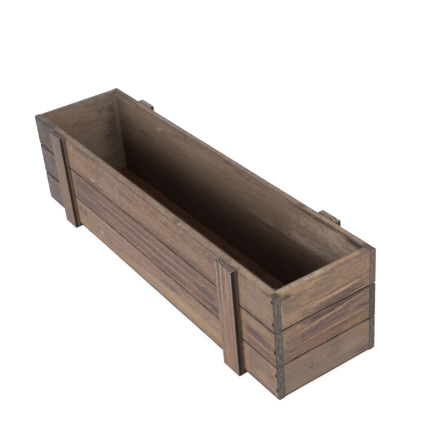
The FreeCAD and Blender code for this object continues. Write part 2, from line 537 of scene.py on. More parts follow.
def wood_of(tree, node, directions, seed, look):
    """The places, distances and noises of one board, in mm and from 0 to 1."""
    low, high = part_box(node)
    along, across = directions[0], cross_axis(directions)
    wood = SimpleNamespace(tree=tree, look=look, space=wood_space(tree, node, directions))
    length, wood.width = ((high - low).dot(d) / MM for d in (along, across))
    wood.middle = ((low + high).dot(along) / 2 / MM, wood.width / 2)
    jump = [seed * shift for shift in SEED_JUMP]
    wood.own = add(tree, "VectorMath", {"operation": "ADD", 1: jump}, {0: wood.space}).outputs[0]
    wood.place = drifted(tree, wood.space, wood.own, DRIFT_SIZE, look["drift"])
    wood.seeded = add(tree, "VectorMath", {"operation": "ADD", 1: jump}, {0: wood.place}).outputs[0]
    wood.rings = growth_rings(tree, wood.place, look["pith"], look["spacing"])
    wood.fine = grain_noise(tree, wood.seeded, FIBRE, detail=3.0, roughness=0.65).outputs[0]
    wood.soft = add(tree, "MapRange", {"To Min": SOFTEST, "To Max": FIRMEST},
                    {"Value": wood.fine}).outputs[0]
    cloud = grain_noise(tree, wood.own, UNEVEN_SIZE).outputs[0]
    wood.uneven = add(tree, "Math", {"operation": "MULTIPLY_ADD", 1: 2 * UNEVEN_REACH,
                                     2: -UNEVEN_REACH}, {0: cloud}).outputs[0]
    add_distances(wood, length)
    return wood


def add_distances(wood, length):
    """The distances from a point to the edges, the face and the nearer end of its board."""
    tree = wood.tree
    parts = add(tree, "SeparateXYZ", {}, {0: wood.space})
    wood.along, wood.from_low, wood.depth = parts.outputs
    wood.from_high = add(tree, "Math", {"operation": "SUBTRACT", 0: wood.width},
                         {1: wood.from_low}).outputs[0]
    wood.from_side = add(tree, "Math", {"operation": "MINIMUM"},
                         {0: wood.from_low, 1: wood.from_high}).outputs[0]
    centred = add(tree, "Math", {"operation": "SUBTRACT", 1: wood.middle[0]}, {0: wood.along})
    reach = add(tree, "Math", {"operation": "ABSOLUTE"}, {0: centred.outputs[0]})
    wood.from_end = add(tree, "Math", {"operation": "SUBTRACT", 0: length / 2},
                        {1: reach.outputs[0]}).outputs[0]


print("one board starts", SEED_JUMP, "mm further on in the noise than the last")

# %% [markdown]
# ## The finish, step by step
# The steps follow the maker's: the wood's own tone with its rings, streaks, fibres and specks, clouds
# of cooler and warmer stain, the board's own marks, and then the wire brush, which leaves bare pale
# flecks and charred fibres. A noise lies about 0.5, so the limits of a stain lie near that too.

# %% The wood's tone and clouds of stain
CLOUD, CLOUD_LIMITS, CLOUD_JUMP = (60, 14, 14), (0.44, 0.66), 911


def ground_tone(wood):
    """How dark the wood is, from 0 to 1, and its colour."""
    tree, look = wood.tree, wood.look
    streaks = grain_noise(tree, wood.seeded, STREAK).outputs[0]
    specks = grain_noise(tree, wood.seeded, SPECK, roughness=0.6).outputs[0]
    start = look["tone"] - look["broad"] / 2 - look["fine"] / 2 - look["speck"] / 2
    tone = add(tree, "Math", {"operation": "MULTIPLY_ADD", 1: look["rings"], 2: start},
               {0: wood.rings}).outputs[0]
    for figure, weight in ((streaks, "broad"), (wood.fine, "fine"), (specks, "speck")):
        tone = add(tree, "Math", {"operation": "MULTIPLY_ADD", 1: look[weight]},
                   {0: figure, 2: tone}).outputs[0]
    ramp = add(tree, "ValToRGB", {}, {0: tone})
    ramp.color_ramp.elements[0].color = linear(look["light"])
    ramp.color_ramp.elements[1].color = linear(look["dark"])
    ramp.color_ramp.elements.new(0.5).color = linear(look["mid"])
    return tone, ramp.outputs[0]


def stain_clouds(wood, colour):
    """Clouds of cooler and warmer stain."""
    for number, stain in enumerate((wood.look["cool"], wood.look["warm"]), 1):
        elsewhere = add(wood.tree, "VectorMath", {"operation": "ADD", 1: (CLOUD_JUMP * number, 0, 0)},
                        {0: wood.own}).outputs[0]
        cloud = grain_noise(wood.tree, elsewhere, CLOUD, detail=4.0, roughness=0.6).outputs[0]
        colour = laid_over(wood.tree, colour, cloud, CLOUD_LIMITS, stain, "LINEAR")
    return colour


print("a cloud of stain is about", CLOUD[0], "by", CLOUD[1], "mm")

# %% The board's marks and the wire brush
RAGGED_SIZE, RAGGED_REACH = (28, 3, 3), (7, 1.6, 0)
BREAKUP_LIMITS, BREAKUP_FULL = (0.3, 0.62), 1.2
BRUSH, BRUSH_JUMP = (8, 2.3, 2.2), (0, 370, 0)
FLECK_LIMITS, CHAR_LIMITS = (0.57, 0.7), (0.42, 0.3)


def own_marks(wood, colour):
    """The board's own marks, broken up by the grain, and its bands of painted shade and tan stain."""
    tree, look = wood.tree, wood.look
    ragged = drifted(tree, wood.place, wood.own, RAGGED_SIZE, RAGGED_REACH)
    patches = grain_noise(tree, wood.seeded, look["patch"], detail=3.0, roughness=0.65).outputs[0]
    breakup = add(tree, "MapRange", {"From Min": BREAKUP_LIMITS[0], "From Max": BREAKUP_LIMITS[1],
                                     "To Min": look["thin"], "To Max": BREAKUP_FULL},
                  {"Value": patches}).outputs[0]
    for mark in look["marks"]:
        colour = marked(tree, colour, ragged, breakup, mark)
    # The bands are mostly painted shade: beside a batten, in the gaps and in a crack.
    for mark in look["shade_and_stain_bands"]:
        colour = marked(tree, colour, wood.space, wood.soft, mark)
    return colour


def brushed(wood, colour):
    """Bare pale flecks and charred fibres that the wire brush left."""
    elsewhere = add(wood.tree, "VectorMath", {"operation": "ADD", 1: BRUSH_JUMP},
                    {0: wood.seeded}).outputs[0]
    strokes = grain_noise(wood.tree, elsewhere, BRUSH, roughness=0.6).outputs[0]
    colour = laid_over(wood.tree, colour, strokes, FLECK_LIMITS, wood.look["flecks"], "LINEAR")
    return laid_over(wood.tree, colour, strokes, CHAR_LIMITS, wood.look["fibres"], "LINEAR")


print("a brush stroke is about", BRUSH[0], "by", BRUSH[1], "mm")

# %% [markdown]
# ## Edges, rim and sawn ends
# Stain pools at an arris, and on a plank painted shade darkens it further beside the gap to the next
# plank, whose bevels are painted black as the shade in the gap. The walls' top edges are pale and
# rough, partly as sawn wood and partly as painted light, since the low soft boxes light a top face
# less than a wall. A batten's sawn sides are charred. A cut end drinks the stain and shows grey end
# grain with a dark arris round it. All limits are distances in mm, but for those of the noises that
# break an edge up.

# %% Arrises, grooves and soaked edges
ARRIS_LIMITS = (1.0, 0.1)
DEEP_SHADE_LIMITS = (105, 25)
GROOVE_SHADE_LIMITS, GROOVE_UNEVEN = (1.05, 0.6), 0.3
FOOT_SHADE_LIMITS = (5.2, 3.1)
END_ARRIS_LIMITS, END_ARRIS_UNEVEN = (2.4, 1.4), 0.5


def long_edges(wood, colour):
    """A darker arris, partly painted shade; painted shade low down in the box; a groove painted black
    as shade.
    """
    tree, look = wood.tree, wood.look
    # On a plank the darker arris is partly stain and partly painted shade beside the gap to the next
    # plank.
    corner = add(tree, "Math", {"operation": "ADD"}, {0: wood.from_side, 1: wood.depth}).outputs[0]
    corner = add(tree, "Math", {"operation": "ADD"}, {0: corner, 1: wood.uneven}).outputs[0]
    limits = [look["arris_reach"] + limit for limit in ARRIS_LIMITS]
    colour = laid_over(tree, colour, corner, limits, look["arris"])
    # Painted shade: the board is darker low down in the box.
    if look["deep_shade"]:
        colour = laid_over(tree, colour, wood.from_low, DEEP_SHADE_LIMITS, look["deep_shade"])
    # Painted shade: the bevels at the gap between two planks, and under a bottom plank, are painted
    # black.
    if look["groove_shade"]:
        edge = wood.from_low if look["rim"] else wood.from_side
        gap = add(tree, "Math", {"operation": "MULTIPLY_ADD", 1: GROOVE_UNEVEN},
                  {0: wood.uneven, 2: edge}).outputs[0]
        colour = laid_over(tree, colour, gap, GROOVE_SHADE_LIMITS, look["groove_shade"])
    return colour


def shaded_and_soaked_edges(wood, colour):
    """Painted shade at the lowest edge; where stain and damp soaked in: a cut end's arris, round the
    nails.
    """
    tree, look = wood.tree, wood.look
    # Painted shade: the face just above the lowest edge is darker, as the shade under the box.
    if look["foot_shade"]:
        colour = laid_over(tree, colour, wood.from_low, FOOT_SHADE_LIMITS, look["foot_shade"])
    if look["end_arris"]:
        ragged = add(tree, "Math", {"operation": "MULTIPLY_ADD", 1: END_ARRIS_UNEVEN},
                     {0: wood.uneven, 2: wood.from_end}).outputs[0]
        colour = laid_over(tree, colour, ragged, END_ARRIS_LIMITS, look["end_arris"])
    for dent in look["dents"]:
        colour = nail_spot(tree, colour, wood.space, dent, wood.middle)
    return colour


print("a groove is black over", GROOVE_SHADE_LIMITS[1], "mm of each plank")

# %% Sawn rim with painted light, and charred sides
SAW, SAW_LIMITS = (9, 40, 2.6), (0.3, 0.6)
SAW_STROKE, STROKE_LIMITS, STROKE_STAIN = (3.2, 40, 7), (0.5, 0.68), ("#66574D", 0.55)
RIM_RAGGED_SIZE, RIM_RAGGED_REACH = (9, 9, 5), (4, 1.4, 0)
RIM_LIMITS, SIDE_LIMITS = (0.7, 0.3), (0.75, 0.4)
CHAR_STRENGTH, BROWN_LIMITS, BLACK_LIMITS = 0.97, (0.9, 0.4), (6.5, 3.0)


def sawn_rim_with_painted_light(wood, colour):
    """The rough top edge, marked along and into it, pale partly as sawn wood, partly as painted light.
    """
    tree, look = wood.tree, wood.look
    if not look["rim"]:
        return colour
    saw = grain_noise(tree, wood.own, SAW, detail=4.0, roughness=0.6).outputs[0]
    # The rim colour is paler than the faces: partly sawn wood, partly painted light, as low lamps
    # light a top face less.
    rim = laid_over(tree, colour, saw, SAW_LIMITS, look["rim"])
    on_top = add(tree, "CombineXYZ", {}, {0: wood.along, 1: wood.depth}).outputs[0]
    on_top = drifted(tree, on_top, wood.own, RIM_RAGGED_SIZE, RIM_RAGGED_REACH)
    for mark in look["rim_marks"]:
        rim = marked(tree, rim, on_top, wood.soft, mark)
    strokes = grain_noise(tree, wood.own, SAW_STROKE, roughness=0.6).outputs[0]
    rim = laid_over(tree, rim, strokes, STROKE_LIMITS, STROKE_STAIN)
    return where_near(tree, colour, rim, wood.from_high, RIM_LIMITS)


def charred_sides(wood, colour):
    """A strip's sawn sides: black near its face, and streaked with brown further back."""
    tree, look = wood.tree, wood.look
    if not look["side"]:
        return colour
    black, brown = look["side"]
    charred = laid_over(tree, colour, wood.fine, BROWN_LIMITS, (brown, CHAR_STRENGTH))
    charred = laid_over(tree, charred, wood.depth, BLACK_LIMITS, (black, CHAR_STRENGTH))
    return where_near(tree, colour, charred, wood.from_side, SIDE_LIMITS)


print("a strip's side is black", BLACK_LIMITS[1], "mm deep and brown below", BLACK_LIMITS[0], "mm")

# %% End grain and the whole finish
MOTTLE, PORES_START, PORES_WEIGHT, END_LIMITS = (9, 4.5, 2.2), -0.55, 2.0, (0.5, 0.15)
RELIEF_STRENGTH, RELIEF_DEPTH, RING_RELIEF = 0.35, 0.4 * MM, 0.5
SATIN, MATT = 0.66, 0.86


def end_grain(wood):
    """Sawn end grain: a mottle of open pores, darker in the late wood."""
    tree, look = wood.tree, wood.look
    mottle = grain_noise(tree, wood.own, MOTTLE, detail=3.0, roughness=0.65).outputs[0]
    pores = add(tree, "Math", {"operation": "MULTIPLY_ADD", 1: look["end_rings"], 2: PORES_START},
                {0: wood.rings}).outputs[0]
    pores = add(tree, "Math", {"operation": "MULTIPLY_ADD", 1: PORES_WEIGHT, "use_clamp": True},
                {0: mottle, 2: pores}).outputs[0]
    pale, dark = look["end"]
    return add(tree, "Mix", {"data_type": "RGBA", MIX_A: linear(pale), MIX_B: linear(dark)},
               {0: pores}).outputs[MIXED]


def scorched_softwood(name, node, directions, seed, look):
    """Flame-scorched, wire-brushed and stained softwood: matt, streaked, dark at its arrises."""
    material = bpy.data.materials.new(name)
    material.use_nodes = True
    tree = material.node_tree
    tree.nodes.clear()
    wood = wood_of(tree, node, directions, seed, {**PLAIN, **look})
    tone, colour = ground_tone(wood)
    for step in (stain_clouds, own_marks, brushed, long_edges, sawn_rim_with_painted_light, charred_sides, shaded_and_soaked_edges):
        colour = step(wood, colour)
    washed = add(tree, "VectorMath", {"operation": "MULTIPLY", 1: linear(wood.look["wash"])[:3]},
                 {0: colour}).outputs[0]
    colour = where_near(tree, washed, end_grain(wood), wood.from_end, END_LIMITS)
    height = add(tree, "Math", {"operation": "MULTIPLY_ADD", 1: RING_RELIEF},
                 {0: wood.rings, 2: wood.fine})
    relief = add(tree, "Bump", {"Strength": RELIEF_STRENGTH, "Distance": RELIEF_DEPTH},
                 {"Height": height.outputs[0]})
    dull = add(tree, "MapRange", {"To Min": SATIN, "To Max": MATT}, {"Value": tone})
    shader = add(tree, "BsdfPrincipled", {"IOR": 1.5, "Specular IOR Level": 0.3},
                 {"Base Color": colour, "Roughness": dull.outputs[0], "Normal": relief.outputs[0]})
    add(tree, "OutputMaterial", {}, {"Surface": shader.outputs[0]})
    return material


print("raised grain of the finish:", RELIEF_DEPTH / MM, "mm")

# %% [markdown]
# ## Each plank's own figure
# The boards of one box come from many trees, so each has its own colour and marks. A mark is a
# centre along and across the board in mm, its half length and half width, its turn in degrees, a
# colour and a strength from 0 to 1. A rim's marks lie along it and inwards from its outer face.

# %% Front top plank
LOOKS = {}
LOOKS["front_top_plank"] = {
    "light": "#A68C7C", "mid": "#947A6B", "dark": "#755F58", "pith": (30, 60), "rings": 0.22,
    "broad": 1.0, "fine": 0.8, "wash": "#E9E7E5", "rim": ("#B5A08C", 0.85),
    "warm": ("#A6785A", 0.4),
    "rim_marks": (
        (-292, 5, 14, 9, 0, "#847A78", 0.8), (-258, 5, 16, 9, 0, "#5C5A5C", 0.9),
        (-222, 2, 24, 2.5, 0, "#5E5450", 0.7), (-222, 6, 14, 3, 0, "#A8937C", 0.6),
        (-160, 6, 50, 4, 0, "#A89E98", 0.6), (-90, 1, 120, 1.6, 0, "#7A6760", 0.6),
        (104, 4, 4, 6, 0, "#75675F", 0.8), (112, 3, 3, 5, 0, "#CDBBA0", 0.7),
        (215, 2, 20, 3, 0, "#8A776A", 0.5), (262, 6, 40, 4, 0, "#BEA88C", 0.6),
        (303, 4, 5, 8, 0, "#54443E", 0.95), (150, 5, 40, 3, 0, "#AE957E", 0.5),
    ),
    "marks": (
        (-275, 25, 40, 50, 0, "#5F585B", 0.95), (-272, 40, 22, 12, 0, "#524C4B", 0.6),
        (-292, 30, 12, 20, 0, "#736766", 0.5), (-184, 40, 6, 4.5, 30, "#BFA68A", 0.7),
        (-150, 24, 45, 14, 0, "#A38472", 0.5), (-130, 46, 50, 5, 0, "#7A6357", 0.6),
        (-130, 6, 45, 4, 0, "#66554D", 0.7), (-124, 12, 9, 2.5, 10, "#C9B8A8", 0.6),
        (-140, 17, 20, 4, 30, "#A97F60", 0.5), (-80, 25, 20, 12, 0, "#9F8F7C", 0.7),
        (-52, 25, 8, 14, 0, "#A28574", 0.6), (-48, 30, 3, 14, 0, "#AA9C88", 0.5),
        (40, 22, 80, 9, 0, "#A38573", 0.5), (75, 32, 110, 2, -3, "#B29A85", 0.5),
        (100, 6, 110, 3.5, 0, "#77645A", 0.65), (186, 40, 7, 10, 0, "#7A6668", 0.7),
        (183, 20, 6, 7, 0, "#A87E6C", 0.6), (140, 22, 30, 8, 0, "#A2917E", 0.5),
        (272, 26, 34, 24, 0, "#A39280", 0.55), (270, 4, 34, 3, 0, "#6E5E52", 0.5),
    ),
}
print("front top plank marks:", len(LOOKS["front_top_plank"]["marks"]))

# %% Front middle plank
LOOKS["front_middle_plank"] = {
    "light": "#A0887A", "mid": "#8A7368", "dark": "#685658", "pith": (26, 34), "rings": 0.4,
    "spacing": 6.5, "broad": 1.6, "fine": 0.9, "tone": 0.45, "wash": "#EEE6E3",
    "marks": (
        (-275, 25, 40, 50, 0, "#736A6D", 0.95), (-268, 36, 8, 12, 0, "#57524F", 0.6),
        (-150, 36, 38, 5, 0, "#625A5D", 0.85), (-165, 30, 30, 4, 0, "#6B6164", 0.6),
        (0, 37, 190, 1.3, 0, "#65534F", 0.75), (20, 33, 170, 1.6, 0, "#A88A7C", 0.65),
        (-20, 25, 160, 5, 0, "#6A5E61", 0.8), (165, 26, 30, 7, 0, "#62585B", 0.85),
        (30, 19, 170, 1.8, 0, "#B1937F", 0.8), (-100, 16, 110, 2, 2, "#7A6560", 0.6),
        (-150, 10, 50, 5, 0, "#706366", 0.7), (60, 9, 40, 5, 0, "#695D60", 0.75),
        (182, 9, 10, 6, 0, "#62585B", 0.8), (60, 3, 130, 2, 0, "#A0897A", 0.5),
        (30, 44, 170, 3, 0, "#9C8375", 0.5), (270, 41, 34, 8, 0, "#AA957F", 0.75),
        (272, 34, 36, 1.6, 0, "#8D7465", 0.5), (268, 24, 32, 6, -4, "#685A5D", 0.95),
        (278, 16, 30, 1.8, -5, "#B0927F", 0.8), (270, 8, 34, 5, 0, "#857063", 0.6),
    ),
}
print("front middle plank marks:", len(LOOKS["front_middle_plank"]["marks"]))

# %% Front bottom plank
LOOKS["front_bottom_plank"] = {
    "light": "#B09682", "mid": "#9E8373", "dark": "#7C655B", "pith": (8, 50), "rings": 0.25,
    "broad": 1.0, "fine": 0.8, "wash": "#FBF8F8",
    "marks": (
        (-275, 22, 40, 50, 0, "#736869", 0.95), (-278, 26, 14, 14, 0, "#5C5859", 0.6),
        (-150, 28, 45, 18, 0, "#8F8272", 0.6), (-192, 33, 7, 4, 0, "#625A58", 0.85),
        (-172, 33, 6, 5, 20, "#5F5654", 0.85), (-182, 36, 14, 2, 0, "#75685F", 0.6),
        (-120, 20, 5, 4, 50, "#B9A894", 0.8), (-120, 5, 70, 4, 0, "#B0907C", 0.7),
        (0, 36, 110, 9, 0, "#9B7F72", 0.6), (75, 33, 28, 3, 2, "#705D5A", 0.75),
        (40, 38, 60, 1.5, 0, "#7B6760", 0.5), (30, 14, 110, 9, 2, "#B0977C", 0.55),
        (130, 18, 70, 9, 2, "#B89E80", 0.6), (70, 24, 80, 1.6, 4, "#C0A689", 0.55),
        (10, 4, 120, 2, 0, "#8D7564", 0.5), (160, 40, 40, 5, 0, "#96826F", 0.6),
        (262, 38, 34, 8, 0, "#8F7E70", 0.6), (272, 30, 38, 20, 0, "#806D5E", 0.5),
        (277, 17, 16, 6, 0, "#AE957A", 0.6), (250, 4, 50, 2.5, 0, "#7A685B", 0.5),
    ),
}
print("front bottom plank marks:", len(LOOKS["front_bottom_plank"]["marks"]))

# %% Right end top plank
LOOKS["right_end_top_plank"] = {
    "light": "#AD9379", "mid": "#9B8270", "dark": "#745F58", "pith": (20, 55), "rings": 0.25,
    "broad": 0.9, "fine": 0.8, "wash": "#FCF6F5", "rim": ("#BDA78C", 0.85), "drift": (9, 2.6, 2),
    "rim_marks": (
        (-15, 6, 14, 3, 0, "#C4BAA9", 0.6), (-52, 6, 20, 4, 0, "#B5A88C", 0.6),
        (-16, 8, 7, 2, 0, "#8F7865", 0.7), (-30, 1.5, 40, 1.6, 0, "#93785F", 0.7),
        (38, 5, 26, 6, 0, "#AC8B70", 0.7), (35, 1.5, 34, 2.0, 0, "#7C6453", 0.9),
        (62, 5, 9, 9, 0, "#7D6660", 0.95),
    ),
    "marks": (
        (-58, 44, 10, 5, -10, "#5F4A4A", 0.95), (-42, 46, 14, 3.5, -8, "#B08F69", 0.85),
        (-20, 45, 14, 3.5, 6, "#BE9E75", 0.9), (-13, 43, 3, 3, 0, "#7E6A4F", 0.7),
        (-50, 31, 15, 11, 0, "#837763", 0.7), (-30, 27, 8, 6, 0, "#A58A64", 0.6),
        (2, 33, 16, 9, 10, "#8F806A", 0.55), (22, 33, 8, 8, 0, "#A48E68", 0.5),
        (35, 39, 24, 9, 0, "#A3836F", 0.6), (-5, 27, 26, 2, 2, "#7E6B5B", 0.6),
        (25, 20, 34, 2.4, 4, "#76605A", 0.8), (22, 4.5, 44, 1.5, 1.5, "#463936", 0.85),
        (10, 15.5, 44, 1.5, 3.6, "#CDAA85", 0.95), (18, 8, 44, 5.5, 3, "#6C5954", 0.85),
        (-48, 12, 16, 7, 0, "#A88E6E", 0.7), (-30, 8, 10, 6, 0, "#84695A", 0.6),
        (48, 24, 14, 4, 4, "#9B7A67", 0.5), (-63, 28, 2, 18, 0, "#B59A76", 0.6),
    ),
}
print("right end top plank marks:", len(LOOKS["right_end_top_plank"]["marks"]))

# %% Right end middle plank
LOOKS["right_end_middle_plank"] = {
    "light": "#A48B78", "mid": "#8E7668", "dark": "#6A5856", "pith": (30, 30), "rings": 0.35,
    "spacing": 5, "broad": 1.1, "fine": 0.9, "tone": 0.42, "wash": "#F1E9E6", "drift": (9, 2.6, 2),
    "marks": (
        (-48, 44, 20, 5, 0, "#A88E74", 0.7), (20, 46, 45, 4, 4, "#625356", 0.85),
        (-16, 45, 5, 3, 0, "#584B4D", 0.8), (0, 39.5, 64, 1.5, 6, "#BC9E81", 0.95),
        (24, 36.5, 34, 2, 6, "#665558", 0.8), (0, 30, 42, 6, 3, "#6F5E60", 0.8),
        (22, 33, 32, 1.1, 4, "#A08672", 0.7), (54, 27, 9, 4, 0, "#6E5550", 0.85),
        (-48, 27, 16, 9, 0, "#8A7A6E", 0.6), (12, 19.5, 50, 1.5, 3, "#B8967A", 0.9),
        (0, 22, 44, 1.4, 2, "#6F5E59", 0.6), (-10, 10, 30, 7, 0, "#92705F", 0.6),
        (42, 8, 18, 5, 0, "#A58466", 0.7), (-40, 8, 22, 6, 0, "#907C6C", 0.5),
        (25, 13, 30, 2, 0, "#7E6460", 0.5), (-63, 36, 2, 14, 0, "#B59A76", 0.6),
    ),
}
print("right end middle plank marks:", len(LOOKS["right_end_middle_plank"]["marks"]))

# %% Right end bottom plank
LOOKS["right_end_bottom_plank"] = {
    "light": "#A08C76", "mid": "#928070", "dark": "#77675A", "pith": (25, 80), "rings": 0.12,
    "broad": 0.5, "fine": 0.5, "speck": 1.0, "tone": 0.4, "wash": "#F4EEEE",
    "flecks": ("#B5A28C", 0.25), "fibres": ("#5A4A40", 0.25),
    "marks": (
        (-23, 28, 4, 5, 0, "#6B685C", 0.9), (-23, 28, 2, 2.6, 0, "#948470", 0.9),
        (-40, 46, 22, 2.5, 0, "#A67F6C", 0.6), (14, 39, 14, 4, 0, "#866E5E", 0.7),
        (36, 24, 18, 7, 0, "#A39080", 0.7), (10, 28, 10, 6, 0, "#7F7062", 0.5),
        (52, 7, 14, 5, 0, "#715F60", 0.75), (-15, 12, 5, 3, 0, "#A8985F", 0.4),
        (15, 46, 30, 2, 0, "#9F8068", 0.5), (55, 44, 9, 4, 0, "#AA8A66", 0.6),
        (-45, 15, 20, 12, 0, "#98856F", 0.5),
    ),
}
print("right end bottom plank marks:", len(LOOKS["right_end_bottom_plank"]["marks"]))

# %% Rims of the back and left end
LOOKS["left_end_top_plank"] = {
    "rim": ("#9C918F", 0.8),
    # The dark mark 8 mm in, at the inner edge, is painted shade of the gap between plank and lining.
    "rim_marks": (
        (-71, 5, 6, 9, 0, "#AFA3A0", 0.6), (-42, 8, 26, 2.5, 0, "#74645A", 0.6),
    ),
}
LOOKS["back_top_plank"] = {
    "rim": ("#A8988C", 0.8),
    # The dark marks 9 mm in, at the inner edge, are painted shade of the gap between plank and lining.
    "rim_marks": (
        (-280, 4, 32, 9, 0, "#6C6A6B", 0.85), (-262, 9, 40, 2, 0, "#55504E", 0.8),
        (-212, 4, 20, 9, 0, "#A5907F", 0.7), (-158, 4, 30, 6, 0, "#A9A0A0", 0.7),
        (-60, 9, 60, 1.5, 0, "#6B574A", 0.6), (-70, 4, 40, 5, 0, "#A8917C", 0.4),
        (30, 9, 110, 1.4, 0, "#6E594C", 0.6), (178, 7, 9, 3, 0, "#5C4638", 0.85),
        (240, 6, 30, 6, 0, "#B39678", 0.7), (250, 9.3, 50, 1.4, 0, "#4E3326", 0.85),
        (299, 5, 8, 9, 0, "#5C4A47", 0.9),
    ),
}
print("planks with a look of their own:", len(LOOKS))

# %% [markdown]
# ## Strips
# The strip was planed and stained like the planks, but its sawn sides took more of the flame. They
# are nearly black at the front and brown at the back. Each batten is another length of it.

# %% Battens and runners
STRIP = {
    "light": "#A58F80", "mid": "#957E71", "dark": "#77635C", "pith": (12, 40), "spacing": 4.5,
    "rings": 0.2, "broad": 0.8, "fine": 0.8, "drift": (8, 2, 2), "arris": ("#B39C8B", 0.35),
    "arris_reach": STRIP_BEVEL, "groove_shade": None, "side": ("#241B17", "#5A4434"),
    "end": ("#B5A89C", "#574940"), "end_rings": 2.2, "warm": ("#A38866", 0.25), "wash": "#F2EDEC",
}
LOOKS["back_left_batten"] = {
    **STRIP, "end": ("#B9B5B0", "#8A827C"), "wash": "#E8E2E0",
}
LOOKS["back_right_batten"] = {
    **STRIP, "end": ("#BDADA0", "#6B5D52"), "wash": "#E8E2E0",
}
print("colours and sizes of the strip:", len(STRIP))

# %% Front battens
LOOKS["front_left_batten"] = {
    **STRIP, "rings": 0.1, "broad": 0.5, "side": ("#2E2521", "#96806C"), "wash": "#E8E3E5",
    "end": ("#9C9792", "#4E4641"),
    "marks": (
        (145, 17, 18, 20, 0, "#83787A", 0.7), (140, 26, 14, 8, 0, "#7A6467", 0.6),
        (100, 8, 26, 8, 0, "#8F7F7F", 0.5), (8, 17, 12, 20, 0, "#8A7467", 0.5),
    ),
}
LOOKS["front_right_batten"] = {
    **STRIP, "rings": 0.3, "broad": 1.0, "pith": (17, 26), "spacing": 3.6,
    "cool": ("#75696A", 0.25),
    "marks": (
        (145, 8, 40, 1.2, 0, "#624F52", 0.9), (140, 15.5, 45, 1.3, 0, "#6C5049", 0.95),
        (140, 12, 45, 1.2, 0, "#BDA695", 0.8), (140, 20, 45, 1.3, 0, "#8A6049", 0.7),
        (140, 23, 40, 1.0, 0, "#BDA797", 0.8), (145, 4, 40, 1.2, 0, "#B7A193", 0.7),
        (150, 28, 24, 4, 0, "#867E81", 0.7), (95, 15, 14, 3, 0, "#AE8468", 0.5),
        (60, 19, 26, 9, 0, "#98786C", 0.5), (25, 17, 20, 9, 0, "#AE876A", 0.6),
        (14, 12, 16, 8, 0, "#A98476", 0.4),
    ),
}
print("battens with a look of their own:", sum("batten" in node for node in LOOKS))

# %% [markdown]
# ## Sheets
# The linings are thin plywood: stained, not scorched, so their figure is faint and cloudy. The floor
# board is redder and darker. A function of its own for plywood would repeat all the steps of the
# planks, so both are the same finish with other values.

# %% Plywood, and the back lining
PLY = {
    "light": "#98826F", "mid": "#877260", "dark": "#6A574A", "pith": (70, 260), "spacing": 9,
    "rings": 0.2, "broad": 0.4, "fine": 0.4, "speck": 1.1, "tone": 0.4, "drift": (30, 14, 30),
    "cool": ("#7A6B67", 0.35), "warm": ("#9C846A", 0.3), "arris": ("#5E4F44", 0.4),
    "arris_reach": SHEET_BEVEL, "groove_shade": None, "flecks": ("#B29C84", 0.25),
    "fibres": ("#4A3C33", 0.25), "end": ("#8C7A66", "#5E5044"), "end_rings": 0.3, "wash": "#FFFFFF",
    "patch": (15, 8, 8), "thin": -0.1,
}
LOOKS["back_lining"] = {
    # The back lining is painted darker towards the bottom, as the shade low down in the box.
    **PLY, "deep_shade": ("#352D30", 0.8),
    "marks": (
        (205, 98, 55, 14, 0, "#C6B0A0", 0.8), (105, 88, 36, 9, 0, "#B39D88", 0.55),
        (150, 90, 30, 5, 4, "#BCA698", 0.7), (235, 122, 70, 18, 0, "#B8A18E", 0.6),
        (190, 112, 30, 4, -6, "#8A7868", 0.6), (245, 108, 22, 4, 5, "#8C7A6C", 0.6),
        (-163, 122, 8, 6, 0, "#B09D8B", 0.7), (-150, 130, 24, 7, 0, "#A08D78", 0.5),
        (176, 135, 4, 3, 0, "#54382A", 1.0), (-77, 134, 4, 3, 0, "#68543C", 0.6),
        # The thin brown line at the top edge, at (35, 139), is painted shade of the gap behind the
        # lining.
        (15, 128, 6, 5, 0, "#A59380", 0.5), (35, 139, 85, 1.0, 0, "#4A2F24", 0.7),
        (-60, 120, 60, 12, 0, "#A8917C", 0.4), (-278, 100, 20, 60, 0, "#5C5150", 0.7),
        (262, 126, 34, 20, 0, "#BBA695", 0.7), (-250, 128, 36, 22, 0, "#75665F", 0.5),
        (110, 82, 45, 6, 0, "#55453C", 0.6), (-225, 92, 60, 8, 0, "#5C504C", 0.5),
    ),
    # Painted shade: the lining's top edge is near black where it has sprung, and brown further left.
    "shade_and_stain_bands": (
        (284, 139, 15, 1.2, 0, "#17100D", 0.95), (215, 139, 50, 0.8, 0, "#3A2720", 0.8),
    ),
}
print("back lining marks:", len(LOOKS["back_lining"]["marks"]))

# %% The other linings and the floor board
LOOKS["left_end_lining"] = {
    **PLY, "light": "#A78F79", "mid": "#947E6B", "dark": "#776352", "rings": 0.34, "spacing": 6,
    "marks": (
        (24, 125, 8, 5, 10, "#756B63", 0.7), (4, 130, 8, 4, 0, "#7D726A", 0.6),
        (45, 130, 20, 8, 0, "#7A6E6C", 0.6), (46, 100, 18, 50, 0, "#665A56", 0.75),
        (15, 132, 40, 5, 0, "#756962", 0.5),
    ),
}
LOOKS["front_lining"] = PLY
LOOKS["right_end_lining"] = PLY
LOOKS["floor_board"] = {
    **PLY, "light": "#8C6149", "mid": "#724C3A", "dark": "#4F352B", "fine": 0.9,
    "arris": ("#3A2820", 0.4),
}
print("looks:", len(LOOKS))

# %% [markdown]
# ## Stains by chance
# Some boards hardly show in the photograph: two linings, the floor board, the runners, the back
# battens, and the faces of the top planks of the back and the left end. They get a few stains of the
# same colours and sizes, at places drawn from a seed. The planks under those two have no stains of
# their own and keep the plain look.

# %% Marks for boards that the camera hardly sees
CHANCE_STAINS = (
    ("#685C60", 0.7), ("#6A5750", 0.6), ("#AD9376", 0.7), ("#A98A78", 0.6), ("#6E625F", 0.6),
    ("#B29C80", 0.6), ("#5F514C", 0.5),
)
# Shares of the board's length and width, mm, and degrees.
ALONG, ACROSS, HALF_LONG, HALF_WIDE, TURN = (-0.45, 0.45), (0.05, 0.95), (0.06, 0.22), (2, 9), (-4, 4)


